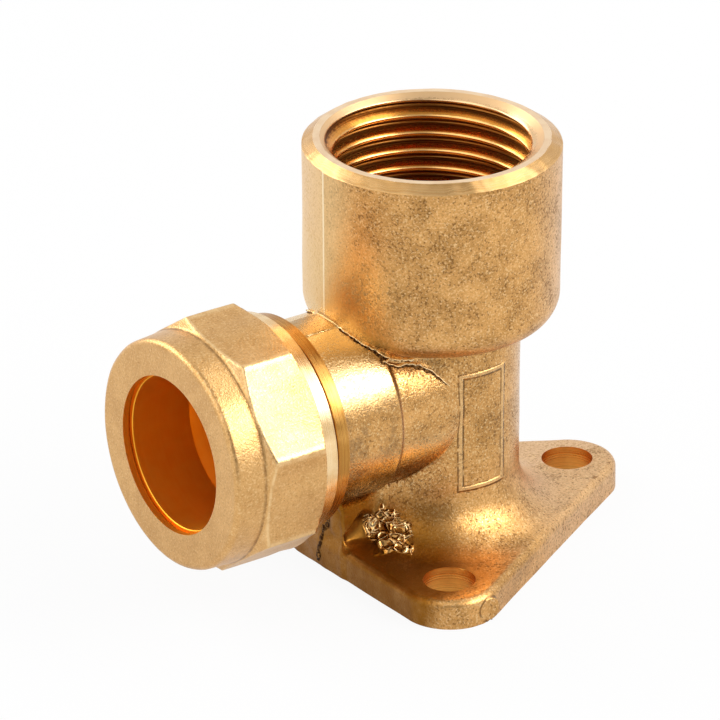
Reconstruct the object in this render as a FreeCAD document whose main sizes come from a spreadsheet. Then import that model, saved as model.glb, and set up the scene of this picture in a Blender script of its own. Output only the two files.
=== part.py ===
import FreeCAD, Part
import math
import os
import Sketcher

# Wall plate elbow for 15 mm copper pipe: a forged brass elbow on a three-hole wall plate, with a tapped
# socket for the tap, and a compression nut with its olive on the side arm.
# +Z runs up the tap socket from the wall face, +X runs out along the pipe. Millimetres and degrees.

DIMENSIONS = {
    # wall plate
    "plate_thickness": 2.9,
    "plate_edge_round": 0.7,
    "plate_corner_radius": 4.75,
    "hole_circle_radius": 16.6,
    "hole_diameter": 5.0,
    # column: neck and tap socket
    "neck_radius": 8.55,
    "flare_radius": 5.0,
    "neck_root_round": 0.6,
    "socket_underside_height": 23.0,
    "shoulder_round": 2.8,
    "socket_foot_radius": 12.27,
    "socket_radius": 12.4,
    "socket_top_height": 41.5,
    "rim_chamfer_width": 1.1,
    "rim_chamfer_depth": 0.75,
    # tapped bore and waterway
    "tap_core_radius": 9.32,
    "tap_mouth_radius": 10.48,
    "tap_mouth_depth": 0.9,
    "tap_bore_depth": 15.5,
    "tap_thread_pitch": 1.814,
    "tap_thread_root_radius": 10.1,
    "tap_thread_root_flat": 0.16,
    "tap_thread_crest_flat": 1.17,
    "tap_thread_start": 2.16,
    "tap_cutter_overlap": 0.12,
    "waterway_radius": 6.2,
    "waterway_floor_drop": 6.6,
    "arm_waterway_radius": 6.0,
    "drill_point_angle": 118.0,
    # side arm
    "arm_axis_height": 16.55,
    "arm_root_radius": 8.4,
    "arm_step_station": 9.8,
    "arm_radius": 9.1,
    "arm_end_station": 17.0,
    "spigot_radius": 10.4,
    "spigot_length": 8.4,
    "spigot_ring_width": 1.8,
    "spigot_tip_chamfer": 0.5,
    "pipe_bore_radius": 7.55,
    "pipe_stop_station": 10.5,
    "seat_angle": 30.0,
    # web under the arm
    "web_top_half_width": 0.8,
    "web_foot_half_width": 6.25,
    "web_setback": 0.3,
    # compression nut
    "nut_across_flats": 23.0,
    "nut_length": 11.6,
    "nut_rest_turn": 13.0,
    "nut_back_radius": 10.95,
    "nut_back_chamfer_length": 2.0,
    "nut_face_radius": 10.75,
    "nut_collar_radius": 11.2,
    "nut_collar_round": 0.45,
    "nut_collar_taper": 0.2,
    "nut_collar_length": 3.3,
    "nut_shoulder_angle": 60.0,
    "nut_bore_radius": 7.75,
    "nut_lip_thickness": 0.6,
    "nut_seat_angle": 45.0,
    # olive
    "olive_length": 6.5,
    "olive_bore_radius": 7.55,
    "olive_end_radius": 8.05,
    "olive_crown_radius": 8.75,
    "olive_crown_length": 2.1,
    # clearances
    "thread_clearance": 0.08,
    "olive_seat_clearance": 0.05,
}

# The plate has one rounded corner round each of its holes, and the nut is an even polygon.
PLATE_HOLES = 3
NUT_SIDES = 8
# Two sketch points nearer than this are the same point, and a normal this near to level has no rise.
SAME_POINT = 1e-6
LEVEL = 1e-3
# Shares of the ledge under the socket that the two rounds beside it may take up.
ROOT_SHARE = 0.2
SHOULDER_SHARE = 0.78

doc = FreeCAD.newDocument("wall_plate_elbow")
sheet = doc.addObject("Spreadsheet::Sheet", "dims")
for row, (alias, size) in enumerate(DIMENSIONS.items(), start=1):
    sheet.set("A%d" % row, alias)
    sheet.set("B%d" % row, str(size))
    sheet.setAlias("B%d" % row, alias)
doc.recompute()


def value(expression):
    """Number that an expression over the sheet gives now."""
    return float(sheet.evalExpression(expression))


def origin_plane(body, role):
    """One of a body's own origin planes."""
    for feature in body.Origin.OriginFeatures:
        if feature.Role == role:
            return feature
    raise RuntimeError("no plane " + role)


def new_sketch(body, name, role, lift=None):
    """Sketch on an origin plane, with its own origin lifted along its vertical axis by an expression."""
    sketch = body.newObject("Sketcher::SketchObject", name)
    sketch.AttachmentSupport = (origin_plane(body, role), [""])
    sketch.MapMode = "FlatFace"
    if lift:
        sketch.setExpression(".AttachmentOffset.Base.y", lift)
    return sketch


def bind(sketch, index, expression):
    """Ties one sketch constraint to an expression over the sheet."""
    sketch.setExpression("Constraints[%d]" % index, expression)


def pin_point(sketch, geometry, position, across, up):
    """Fixes a sketch point at two expressions, or on an axis where an expression is 0."""
    if across == "0":
        sketch.addConstraint(Sketcher.Constraint("PointOnObject", geometry, position, -2))
    else:
        bind(sketch, sketch.addConstraint(
            Sketcher.Constraint("DistanceX", geometry, position, value(across))), across)
    if up == "0":
        sketch.addConstraint(Sketcher.Constraint("PointOnObject", geometry, position, -1))
    else:
        bind(sketch, sketch.addConstraint(
            Sketcher.Constraint("DistanceY", geometry, position, value(up))), up)


def draw_outline(sketch, corners):
    """Closed outline of straight runs; a corner is (across, up) or (across, up, round), all expressions."""
    count = len(corners)
    points = [FreeCAD.Vector(value(c[0]), value(c[1]), 0) for c in corners]
    starts, ends = list(points), list(points)
    for i, corner in enumerate(corners):
        if len(corner) == 3:
            back = (points[i - 1] - points[i]).normalize()
            ahead = (points[(i + 1) % count] - points[i]).normalize()
            reach = value(corner[2]) / math.tan(back.getAngle(ahead) / 2)
            ends[i] = points[i] + back * reach
            starts[i] = points[i] + ahead * reach
    lines = []
    for i in range(count):
        lines.append(sketch.addGeometry(Part.LineSegment(starts[i], ends[(i + 1) % count])))
    for i, corner in enumerate(corners):
        before, after = lines[i - 1], lines[i]
        if len(corner) == 2:
            sketch.addConstraint(Sketcher.Constraint("Coincident", before, 2, after, 1))
            pin_point(sketch, after, 1, corner[0], corner[1])
            continue
        bisector = (ends[i] + starts[i]) / 2 - points[i]
        half = bisector.getAngle(ends[i] - points[i])
        middle = points[i] + bisector.normalize() * (value(corner[2]) / math.sin(half) - value(corner[2]))
        arc = sketch.addGeometry(Part.Arc(ends[i], middle, starts[i]))
        first = 1 if sketch.getPoint(arc, 1).distanceToPoint(ends[i]) < SAME_POINT else 2
        sketch.addConstraint(Sketcher.Constraint("Tangent", before, 2, arc, first))
        sketch.addConstraint(Sketcher.Constraint("Tangent", arc, 3 - first, after, 1))
        bind(sketch, sketch.addConstraint(
            Sketcher.Constraint("Radius", arc, value(corner[2]))), corner[2])
        sharp = sketch.addGeometry(Part.Point(points[i]), True)
        sketch.addConstraint(Sketcher.Constraint("PointOnObject", sharp, 1, before))
        sketch.addConstraint(Sketcher.Constraint("PointOnObject", sharp, 1, after))
        pin_point(sketch, sharp, 1, corner[0], corner[1])


def draw_circle(sketch, across, up, radius):
    """Circle at a point, all expressions."""
    centre = FreeCAD.Vector(value(across), value(up), 0)
    circle = sketch.addGeometry(Part.Circle(centre, FreeCAD.Vector(0, 0, 1), value(radius)))
    pin_point(sketch, circle, 3, across, up)
    bind(sketch, sketch.addConstraint(Sketcher.Constraint("Radius", circle, value(radius))), radius)


def spin(body, kind, name, sketch, axis):
    """Full turn of a profile about its sketch's own axis: a Revolution adds and a Groove cuts."""
    before = body.Shape.Volume if kind == "Groove" else 0
    feature = body.newObject("PartDesign::" + kind, name)
    feature.Profile = sketch
    feature.ReferenceAxis = (sketch, [axis])
    feature.Angle = 360
    sketch.Visibility = False
    doc.recompute()
    if kind == "Groove" and not feature.Shape.Volume < before:
        raise RuntimeError(name + " cuts nothing")
    return feature


def extrude(body, kind, name, sketch, length, reverse=False):
    """Straight Pad or Pocket of a sketch over a length given as an expression."""
    before = body.Shape.Volume if kind == "Pocket" else 0
    feature = body.newObject("PartDesign::" + kind, name)
    feature.Profile = sketch
    feature.setExpression("Length", length)
    feature.Reversed = reverse
    sketch.Visibility = False
    doc.recompute()
    if kind == "Pocket" and not feature.Shape.Volume < before:
        raise RuntimeError(name + " cuts nothing")
    return feature


# Places that several pieces share, as expressions over the sheet
HALF_STEP = "(%g deg)" % (180 / PLATE_HOLES)
NUT_HALF_STEP = "(%g deg)" % (180 / NUT_SIDES)
PLATE_SIDE = "(dims.hole_circle_radius * cos(" + HALF_STEP + ") + dims.plate_corner_radius)"
PLATE_CORNER = "(dims.hole_circle_radius + dims.plate_corner_radius / cos(" + HALF_STEP + "))"
PLATE_REACH = "(dims.hole_circle_radius + dims.plate_corner_radius)"
SPIGOT_END = "(dims.arm_end_station + dims.spigot_length)"
NUT_BACK = "(dims.arm_end_station + dims.spigot_ring_width)"
NUT_CORNER_RADIUS = "(dims.nut_across_flats / 2 / cos(" + NUT_HALF_STEP + "))"
NUT_THREAD_RADIUS = "(dims.spigot_radius + dims.thread_clearance)"
NUT_SEAT_FOOT = "(dims.nut_length - dims.nut_lip_thickness)"
OLIVE_OUTER_END = ("(" + NUT_BACK + " + " + NUT_SEAT_FOOT
                   + " - (dims.olive_end_radius - dims.nut_bore_radius) / tan(dims.nut_seat_angle * 1 deg)"
                   + " - dims.olive_seat_clearance)")
OLIVE_INNER_END = "(" + OLIVE_OUTER_END + " - dims.olive_length)"
SEAT_FOOT = ("(" + OLIVE_INNER_END + " - dims.olive_seat_clearance"
             + " - (dims.olive_end_radius - dims.pipe_bore_radius) / tan(dims.seat_angle * 1 deg))")


def seat_radius(station):
    """Radius of the elbow's cone seat at a station along the arm."""
    return ("(dims.pipe_bore_radius + (" + station + " - " + SEAT_FOOT + ") * tan(dims.seat_angle * 1 deg))")


def round_plate_edge(body, trim):
    """Rounds the plate's upper edge all the way round its outline."""
    names = []
    for face in trim.Shape.Faces:
        surface = face.Surface
        upright = abs(face.normalAt(0, 0).z) < LEVEL
        flat_side = surface.TypeId == "Part::GeomPlane" and upright
        corner = surface.TypeId == "Part::GeomCylinder" and face.BoundBox.ZMax < value("dims.neck_radius")
        if not flat_side and not corner:
            continue
        for edge in face.Edges:
            if edge.BoundBox.ZMin > value("dims.plate_thickness") / 2:
                names += ["Edge%d" % n for n, e in enumerate(trim.Shape.Edges, start=1) if e.isSame(edge)]
    rounded = body.newObject("PartDesign::Fillet", "PlateEdge")
    rounded.Base = (trim, names)
    rounded.setExpression("Radius", "dims.plate_edge_round")
    doc.recompute()


def cut_thread(body):
    """Right-hand thread in the tap socket: one groove wound up its wall, with wide crests left between."""
    before = body.Shape.Volume
    crest = "(dims.tap_thread_pitch - dims.tap_thread_crest_flat) / 2"
    root = "dims.tap_thread_root_flat / 2"
    flank = "(%s - %s) / (dims.tap_thread_root_radius - dims.tap_core_radius)" % (crest, root)
    open_half = "(%s + dims.tap_cutter_overlap * %s)" % (crest, flank)
    inner = "dims.tap_core_radius - dims.tap_cutter_overlap"
    start = "(dims.socket_top_height - dims.tap_bore_depth + dims.tap_thread_start)"
    form = new_sketch(body, "TapThreadForm", "XZ_Plane")
    draw_outline(form, [
        (inner, start + " - " + open_half),
        ("dims.tap_thread_root_radius", start + " - " + root),
        ("dims.tap_thread_root_radius", start + " + " + root),
        (inner, start + " + " + open_half),
    ])
    groove = body.newObject("PartDesign::SubtractiveHelix", "TapThread")
    groove.Profile = form
    groove.ReferenceAxis = (form, ["V_Axis"])
    groove.Mode = "pitch-height-angle"
    groove.setExpression("Pitch", "dims.tap_thread_pitch")
    groove.setExpression("Height", "dims.tap_bore_depth - dims.tap_thread_start + dims.tap_thread_pitch")
    form.Visibility = False
    doc.recompute()
    if not groove.Shape.Volume < before:
        raise RuntimeError("TapThread cuts nothing")


def make_elbow():
    """Forged elbow: column, trimmed wall plate, arm, web, then every bored and drilled hollow."""
    body = doc.addObject("PartDesign::Body", "ElbowBody")
    body.Label = "elbow_body"

    ledge = "(dims.socket_foot_radius - dims.neck_radius)"
    root_round = "min(dims.neck_root_round; %s * %g)" % (ledge, ROOT_SHARE)
    shoulder_round = "min(dims.shoulder_round; %s * %g)" % (ledge, SHOULDER_SHARE)
    column = new_sketch(body, "ColumnProfile", "XZ_Plane")
    draw_outline(column, [
        ("0", "0"),
        (PLATE_REACH + " + dims.plate_corner_radius", "0"),
        (PLATE_REACH + " + dims.plate_corner_radius", "dims.plate_thickness"),
        ("dims.neck_radius", "dims.plate_thickness", "dims.flare_radius"),
        ("dims.neck_radius", "dims.socket_underside_height", root_round),
        ("dims.socket_foot_radius", "dims.socket_underside_height", shoulder_round),
        ("dims.socket_radius", "dims.socket_top_height - dims.rim_chamfer_depth"),
        ("dims.socket_radius - dims.rim_chamfer_width", "dims.socket_top_height"),
        ("0", "dims.socket_top_height"),
    ])
    spin(body, "Revolution", "Column", column, "V_Axis")

    outline = new_sketch(body, "PlateTrim", "XY_Plane")
    corner_x = PLATE_CORNER + " * cos(" + HALF_STEP + ")"
    corner_y = PLATE_CORNER + " * sin(" + HALF_STEP + ")"
    draw_outline(outline, [
        (corner_x, corner_y, "dims.plate_corner_radius"),
        ("-" + PLATE_CORNER, "0", "dims.plate_corner_radius"),
        (corner_x, "-" + corner_y, "dims.plate_corner_radius"),
    ])
    draw_circle(outline, "0", "0", PLATE_REACH + " + 2 * dims.plate_corner_radius")
    trim = extrude(body, "Pocket", "PlateOutline", outline, "dims.socket_underside_height", True)

    round_plate_edge(body, trim)

    arm = new_sketch(body, "ArmProfile", "XZ_Plane", "dims.arm_axis_height")
    draw_outline(arm, [
        ("0", "0"),
        ("0", "dims.arm_root_radius"),
        ("dims.arm_step_station", "dims.arm_root_radius"),
        ("dims.arm_step_station", "dims.arm_radius"),
        ("dims.arm_end_station", "dims.arm_radius"),
        ("dims.arm_end_station", "dims.spigot_radius"),
        (SPIGOT_END + " - dims.spigot_tip_chamfer", "dims.spigot_radius"),
        (SPIGOT_END, "dims.spigot_radius - dims.spigot_tip_chamfer"),
        (SPIGOT_END, "0"),
    ])
    spin(body, "Revolution", "Arm", arm, "H_Axis")

    web = new_sketch(body, "WebSection", "YZ_Plane")
    draw_outline(web, [
        ("dims.web_foot_half_width", "dims.plate_thickness / 2"),
        ("dims.web_top_half_width", "dims.arm_axis_height - dims.arm_root_radius / 2"),
        ("-dims.web_top_half_width", "dims.arm_axis_height - dims.arm_root_radius / 2"),
        ("-dims.web_foot_half_width", "dims.plate_thickness / 2"),
    ])
    extrude(body, "Pad", "Web", web, PLATE_SIDE + " - dims.web_setback")

    tap = new_sketch(body, "TapBore", "XZ_Plane")
    floor = "(dims.arm_axis_height - dims.waterway_floor_drop)"
    draw_outline(tap, [
        ("0", "dims.socket_top_height"),
        ("dims.tap_mouth_radius", "dims.socket_top_height"),
        ("dims.tap_core_radius", "dims.socket_top_height - dims.tap_mouth_depth"),
        ("dims.tap_core_radius", "dims.socket_top_height - dims.tap_bore_depth"),
        ("dims.waterway_radius", "dims.socket_top_height - dims.tap_bore_depth"),
        ("dims.waterway_radius", floor),
        ("0", floor + " - dims.waterway_radius / tan(dims.drill_point_angle / 2 * 1 deg)"),
    ])
    spin(body, "Groove", "TapSocket", tap, "V_Axis")

    cut_thread(body)

    pipe = new_sketch(body, "PipeBore", "XZ_Plane", "dims.arm_axis_height")
    draw_outline(pipe, [
        ("0", "0"),
        (SPIGOT_END, "0"),
        (SPIGOT_END, seat_radius(SPIGOT_END)),
        (SEAT_FOOT, "dims.pipe_bore_radius"),
        ("dims.pipe_stop_station", "dims.pipe_bore_radius"),
        ("dims.pipe_stop_station", "dims.arm_waterway_radius"),
        ("0", "dims.arm_waterway_radius"),
    ])
    spin(body, "Groove", "PipeSocket", pipe, "H_Axis")

    hole = new_sketch(body, "ScrewHole", "XY_Plane")
    draw_circle(hole, "-dims.hole_circle_radius", "0", "dims.hole_diameter / 2")
    first_hole = extrude(body, "Pocket", "FirstHole", hole, "dims.plate_thickness", True)
    holes = body.newObject("PartDesign::PolarPattern", "ScrewHoles")
    holes.Originals = [first_hole]
    holes.Axis = (hole, ["N_Axis"])
    holes.Angle = 360
    holes.Occurrences = PLATE_HOLES
    body.Tip = holes
    doc.recompute()
    return body


def make_nut():
    """Eight-sided compression nut, lying along its own X axis with its back at the origin."""
    body = doc.addObject("PartDesign::Body", "CompressionNut")
    body.Label = "compression_nut"
    clear = "(" + NUT_CORNER_RADIUS + " + dims.nut_collar_round)"

    flats = new_sketch(body, "Flats", "YZ_Plane")
    corners = []
    for side in range(NUT_SIDES):
        angle = "(%d * 2 * %s)" % (side, NUT_HALF_STEP)
        across = NUT_CORNER_RADIUS + " * cos(" + angle + ")"
        corners.append((across, NUT_CORNER_RADIUS + " * sin(" + angle + ")"))
    draw_outline(flats, corners)
    extrude(body, "Pad", "Blank", flats, "dims.nut_length")

    collar = new_sketch(body, "CollarCut", "XZ_Plane")
    collar_foot = "(dims.nut_length - dims.nut_collar_length)"
    collar_foot_radius = "(dims.nut_collar_radius + dims.nut_collar_taper)"
    shoulder = "(" + clear + " - " + collar_foot_radius + ") / tan(dims.nut_shoulder_angle * 1 deg)"
    draw_outline(collar, [
        ("dims.nut_length", clear),
        ("dims.nut_length", "dims.nut_face_radius"),
        ("dims.nut_length - dims.nut_collar_round", "dims.nut_collar_radius"),
        (collar_foot, collar_foot_radius),
        (collar_foot + " - " + shoulder, clear),
    ])
    spin(body, "Groove", "Collar", collar, "H_Axis")

    back = new_sketch(body, "BackChamferCut", "XZ_Plane")
    back_slope = "dims.nut_back_chamfer_length / (" + NUT_CORNER_RADIUS + " - dims.nut_back_radius)"
    draw_outline(back, [
        ("0", "dims.nut_back_radius"),
        ("(" + clear + " - dims.nut_back_radius) * " + back_slope, clear),
        ("0", clear),
    ])
    spin(body, "Groove", "BackChamfer", back, "H_Axis")

    cavity = new_sketch(body, "Cavity", "XZ_Plane")
    seat = "(" + NUT_THREAD_RADIUS + " - dims.nut_bore_radius) / tan(dims.nut_seat_angle * 1 deg)"
    draw_outline(cavity, [
        ("0", "0"),
        ("dims.nut_length", "0"),
        ("dims.nut_length", "dims.nut_bore_radius"),
        (NUT_SEAT_FOOT, "dims.nut_bore_radius"),
        (NUT_SEAT_FOOT + " - " + seat, NUT_THREAD_RADIUS),
        ("0", NUT_THREAD_RADIUS),
    ])
    spin(body, "Groove", "ThreadCavity", cavity, "H_Axis")

    body.Placement = FreeCAD.Placement(
        FreeCAD.Vector(value(NUT_BACK), 0, value("dims.arm_axis_height")),
        FreeCAD.Rotation(FreeCAD.Vector(1, 0, 0), value("dims.nut_rest_turn")))
    body.setExpression(".Placement.Base.x", NUT_BACK)
    body.setExpression(".Placement.Base.z", "dims.arm_axis_height")
    body.setExpression(".Placement.Rotation.Angle", "dims.nut_rest_turn * 1 deg")
    return body


def make_olive():
    """Barrel-shaped compression ring between the nut's seat and the elbow's cone seat."""
    body = doc.addObject("PartDesign::Body", "Olive")
    body.Label = "olive"
    section = new_sketch(body, "OliveSection", "XZ_Plane")
    draw_outline(section, [
        ("0", "dims.olive_bore_radius"),
        ("0", "dims.olive_end_radius"),
        ("(dims.olive_length - dims.olive_crown_length) / 2", "dims.olive_crown_radius"),
        ("(dims.olive_length + dims.olive_crown_length) / 2", "dims.olive_crown_radius"),
        ("dims.olive_length", "dims.olive_end_radius"),
        ("dims.olive_length", "dims.olive_bore_radius"),
    ])
    spin(body, "Revolution", "Ring", section, "H_Axis")
    body.Placement.Base = FreeCAD.Vector(value(OLIVE_INNER_END), 0, value("dims.arm_axis_height"))
    body.setExpression(".Placement.Base.x", OLIVE_INNER_END)
    body.setExpression(".Placement.Base.z", "dims.arm_axis_height")
    return body


def check_and_export(parts):
    """Stops on any failed object or bad shape, then writes one file per sub-part."""
    doc.recompute()
    for item in doc.Objects:
        if "Invalid" in item.State or "Error" in item.State:
            raise RuntimeError(item.Name + " failed")
    for part in parts:
        if part.Shape.isNull() or not part.Shape.isValid() or len(part.Shape.Solids) != 1:
            raise RuntimeError(part.Label + " has no good solid")
    os.makedirs("parts", exist_ok=True)
    for part in parts:
        part.Shape.exportStep("parts/" + part.Label + ".step")


check_and_export([make_elbow(), make_nut(), make_olive()])
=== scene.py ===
import math
import bpy
import numpy as np
from mathutils import Matrix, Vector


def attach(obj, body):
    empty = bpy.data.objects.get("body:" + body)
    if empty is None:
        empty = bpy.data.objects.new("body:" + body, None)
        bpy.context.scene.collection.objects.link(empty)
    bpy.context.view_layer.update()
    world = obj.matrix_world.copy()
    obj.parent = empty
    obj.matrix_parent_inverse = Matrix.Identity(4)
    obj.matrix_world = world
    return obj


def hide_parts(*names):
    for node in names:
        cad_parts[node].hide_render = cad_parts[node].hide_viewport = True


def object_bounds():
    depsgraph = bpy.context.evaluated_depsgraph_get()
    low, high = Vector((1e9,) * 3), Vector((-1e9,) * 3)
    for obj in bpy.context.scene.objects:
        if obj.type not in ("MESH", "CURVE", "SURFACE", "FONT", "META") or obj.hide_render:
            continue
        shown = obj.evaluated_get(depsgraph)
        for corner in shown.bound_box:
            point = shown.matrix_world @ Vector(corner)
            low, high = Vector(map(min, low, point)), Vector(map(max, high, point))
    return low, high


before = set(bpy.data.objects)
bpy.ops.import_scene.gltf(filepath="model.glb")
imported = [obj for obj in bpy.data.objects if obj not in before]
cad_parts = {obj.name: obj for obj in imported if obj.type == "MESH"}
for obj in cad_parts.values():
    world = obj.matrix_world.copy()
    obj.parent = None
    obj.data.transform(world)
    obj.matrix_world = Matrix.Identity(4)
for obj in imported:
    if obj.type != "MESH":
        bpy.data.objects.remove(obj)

# Looks of the wall plate elbow. Shapes are worked out in millimetres and stored in metres.
MM = 0.001
CAD_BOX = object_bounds()
LOW = np.array(CAD_BOX[0]) / MM
HIGH = np.array(CAD_BOX[1]) / MM

# Wall plate and its screw holes
PLATE_THICK = 2.9
PLATE_CORNER = 4.75
PLATE_EDGE_ROUND = 0.8
HOLE_RADIUS = 2.5
HOLE_CIRCLE = 16.6
HOLE_TURNS = (180, 300, 60)
HOLES = [(HOLE_CIRCLE * math.cos(math.radians(t)), HOLE_CIRCLE * math.sin(math.radians(t)))
         for t in HOLE_TURNS]
# Ejector's disc on the plate's edge
EJECTOR_X = 6.95
EJECTOR_UP = 1.3
EJECTOR_RADIUS = 1.15
EJECTOR_FOOT = 16.0
EJECTOR_FACE = 19.1
# Neck and tap socket
NECK_RADIUS = 8.55
FLARE_RADIUS = 5.0
SOCKET_FOOT = 23.0
SOCKET_TOP = 41.5
SOCKET_RADIUS = 12.4
SOCKET_DRAFT = 0.007
SHOULDER_ROUND = 2.8
RIM_WIDTH = 1.1
RIM_DEPTH = 0.75
TAP_CORE = 9.34
TAP_ROOM = 10.62
TAP_FLOOR = 26.0
TAP_MOUTH_SLOPE = 1.6
WATERWAY_RADIUS = 6.2
WATERWAY_FLOOR = 9.95
# Raised frame on the neck
FRAME_HALF_WIDTH = 2.45
FRAME_HALF_HEIGHT = 5.9
FRAME_MIDDLE = 14.1
# Side arm, turned ring and spigot
AXIS_UP = 16.55
ARM_ROOT_RADIUS = 8.68
ARM_STEP = 0.42
ARM_SINK = 0.38
ARM_STEP_FROM = 9.3
ARM_STEP_TO = 10.1
ARM_END = 17.0
TRIM_HALF_WIDTH = 1.75
RING_RADIUS = 10.4
RING_EDGE = 18.25
RING_END = 18.9
SPIGOT_CORE = 9.2
SPIGOT_END = 25.4
SPIGOT_TIP = 9.3
PIPE_RADIUS = 7.55
PIPE_STOP = 10.5
SEAT_FOOT = 22.03
ARM_WATERWAY = 6.0
# Web under the arm, with flanks that lean in as they rise
WEB_END = 12.85
WEB_HALF_WIDTH = 2.9
WEB_MIDDLE = 8.0
WEB_LEAN = (0.12, 0.993)
# Fold line on the front of the arm's root, from the torn flake to the neck: along the arm and across it
FOLD_X = (10.3, 8.7, 7.2, 5.4, 3.7)
FOLD_Y = (6.25, 6.42, 6.5, 7.25, 8.13)
# Compression nut, measured from its back
NUT_BACK = 18.8
NUT_LENGTH = 11.6
NUT_TURN = 58.0
NUT_HALF_FLATS = 11.5
NUT_CORNER_ROUND = 0.2
NUT_LAND_RADIUS = 11.0
NUT_LAND_LENGTH = 1.35
NUT_LAND_TAPER = 0.12
NUT_BACK_SLOPE = 1.5
NUT_SHOULDER = 8.25
NUT_COLLAR_FOOT = 11.45
NUT_COLLAR = 11.2
NUT_COLLAR_TAPER = 0.06
NUT_BORE = 7.75
NUT_SEAT_FOOT = 11.0
NUT_ROOM = 10.6
NUT_CONE_AHEAD = 0.866
NUT_CONE_OUT = 0.5
NUT_THREAD_END = 26.4
# Olive
OLIVE_BACK = 22.95
OLIVE_FRONT = 29.45
OLIVE_RADIUS = 8.75
OLIVE_EDGE = 8.05
OLIVE_FLAT = (25.15, 27.25)
# Threads
PITCH = 1.814
THREAD_HALF_DEPTH = 0.56
# Die marks: the two die halves met a little off the middle
PARTING_Y = -0.4


# Fields: negative inside the metal, zero on its skin

def round_union(a, b, r):
    """Two fields joined, with a fillet of radius r in the inner corner."""
    u = np.maximum(r - a, 0)
    v = np.maximum(r - b, 0)
    return np.maximum(r, np.minimum(a, b)) - np.hypot(u, v)


def round_cut(a, b, r):
    """What two fields have in common, with the outer corner rounded to radius r."""
    u = np.maximum(r + a, 0)
    v = np.maximum(r + b, 0)
    return np.minimum(-r, np.maximum(a, b)) + np.hypot(u, v)


def rise(low, high, value):
    """Smooth rise from 0 at low to 1 at high."""
    t = np.clip((value - low) / (high - low), 0, 1)
    return t * t * (3 - 2 * t)


def polygon(a, b, corners):
    """Distance to a convex polygon in a plane, negative inside; corners run anticlockwise."""
    near = np.full(a.shape, np.inf)
    outside = np.full(a.shape, -np.inf)
    for (x0, y0), (x1, y1) in zip(corners, corners[1:] + corners[:1]):
        ex, ey = x1 - x0, y1 - y0
        t = np.clip(((a - x0) * ex + (b - y0) * ey) / (ex * ex + ey * ey), 0, 1)
        near = np.minimum(near, np.hypot(a - x0 - t * ex, b - y0 - t * ey))
        outside = np.maximum(outside, ((a - x0) * ey - (b - y0) * ex) / math.hypot(ex, ey))
    return np.where(outside > 0, near, -near)


LATTICE = np.random.RandomState(7).rand(32, 32, 32)


def noise(x, y, z, size):
    """Smooth random field between -1 and 1 whose lumps are about size across."""
    cells = []
    weights = []
    for c in (x, y, z):
        s = c / size + 50.0
        i = np.floor(s).astype(int)
        t = s - i
        cells.append((i % 32, (i + 1) % 32))
        w = t * t * (3 - 2 * t)
        weights.append((1 - w, w))
    total = 0
    for i in (0, 1):
        for j in (0, 1):
            for k in (0, 1):
                share = weights[0][i] * weights[1][j] * weights[2][k]
                total = total + share * LATTICE[cells[0][i], cells[1][j], cells[2][k]]
    return 2 * total - 1


# Torn patch beside the web: a smooth hollow under a sharp edge, with crumpled folds on the flare beside it
TEAR_HOLLOW = np.array([10.7, 3.5, 4.1])
TEAR_HOLLOW_REACH = np.array([2.7, 2.2, 2.4])
TEAR_HOLLOW_DEPTH = 0.5
TEAR_EDGE = np.array([WEB_END, 3.2, 4.1])
TEAR_EDGE_FALL = np.array([-0.69, 0.0, -0.72])
# Crumpled folds: an uneven triangle on the flare, drawn in a plane that leans with it
TEAR_FOLDS = np.array([8.55, 5.15, 4.5])
TEAR_FOLDS_SIDE = np.array([-0.812, 0.584, 0.0])
TEAR_FOLDS_UP = np.array([-0.249, -0.346, 0.9045])
TEAR_FOLDS_OUT = np.array([0.528, 0.734, 0.4265])
TEAR_FOLDS_CORNERS = [(-1.5, -2.1), (2.0, -2.3), (2.0, 0.6), (-0.8, 2.5), (-1.4, 0.4)]
TEAR_FOLDS_HEIGHT = 0.22


def tear_hollow(p):
    """Share of the smooth hollow at points."""
    x, y, z = p.T
    far = np.linalg.norm((p - TEAR_HOLLOW) / TEAR_HOLLOW_REACH, axis=1)
    below = (p - TEAR_EDGE) @ TEAR_EDGE_FALL + 0.12 * noise(x, y, z, 0.8)
    inside = rise(0.0, 0.35, below) * rise(1.0, 0.5, far)
    return inside * rise(PLATE_THICK, 3.5, z) * rise(WEB_END, 12.2, x) * rise(1.0, 2.0, y)


def tear_folds(p):
    """Share of the crumpled folds at points."""
    x, y, z = p.T
    from_middle = p - TEAR_FOLDS
    outside = polygon(from_middle @ TEAR_FOLDS_SIDE, from_middle @ TEAR_FOLDS_UP, TEAR_FOLDS_CORNERS)
    near = rise(4.0, 3.0, np.abs(from_middle @ TEAR_FOLDS_OUT))
    return near * rise(0.2, -0.25, outside + 0.4 * noise(x, y, z, 0.7))


def tear(p):
    """How far the torn patch stands out of the skin at points."""
    x, y, z = p.T
    folds = tear_folds(p)
    bend = 0.5 * noise(x + 3, y, z, 1.5)
    crumple = 1 - np.abs(noise(0.7 * x + bend, 0.7 * y - bend, z + bend, 0.8)) / 0.34
    raised = TEAR_FOLDS_HEIGHT * folds * np.clip(crumple, -0.7, 1)
    return raised - TEAR_HOLLOW_DEPTH * tear_hollow(p) * (1 - folds)


def hollows(p):
    """Everything bored or drilled out of the forging; threads are left for their own pieces."""
    x, y, z = p.T
    r = np.hypot(x, y)
    across = np.hypot(y, z - AXIS_UP)
    tap = np.maximum(r - TAP_ROOM, TAP_FLOOR - z)
    way = np.maximum(r - WATERWAY_RADIUS, WATERWAY_FLOOR - z + 0.6 * (r - WATERWAY_RADIUS))
    pipe = np.maximum(across - PIPE_RADIUS, PIPE_STOP - x)
    run = np.maximum(across - ARM_WATERWAY, -x)
    out = np.minimum(np.minimum(tap, way), np.minimum(pipe, run))
    for hx, hy in HOLES:
        out = np.minimum(out, np.hypot(x - hx, y - hy) - HOLE_RADIUS)
    return out


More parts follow.
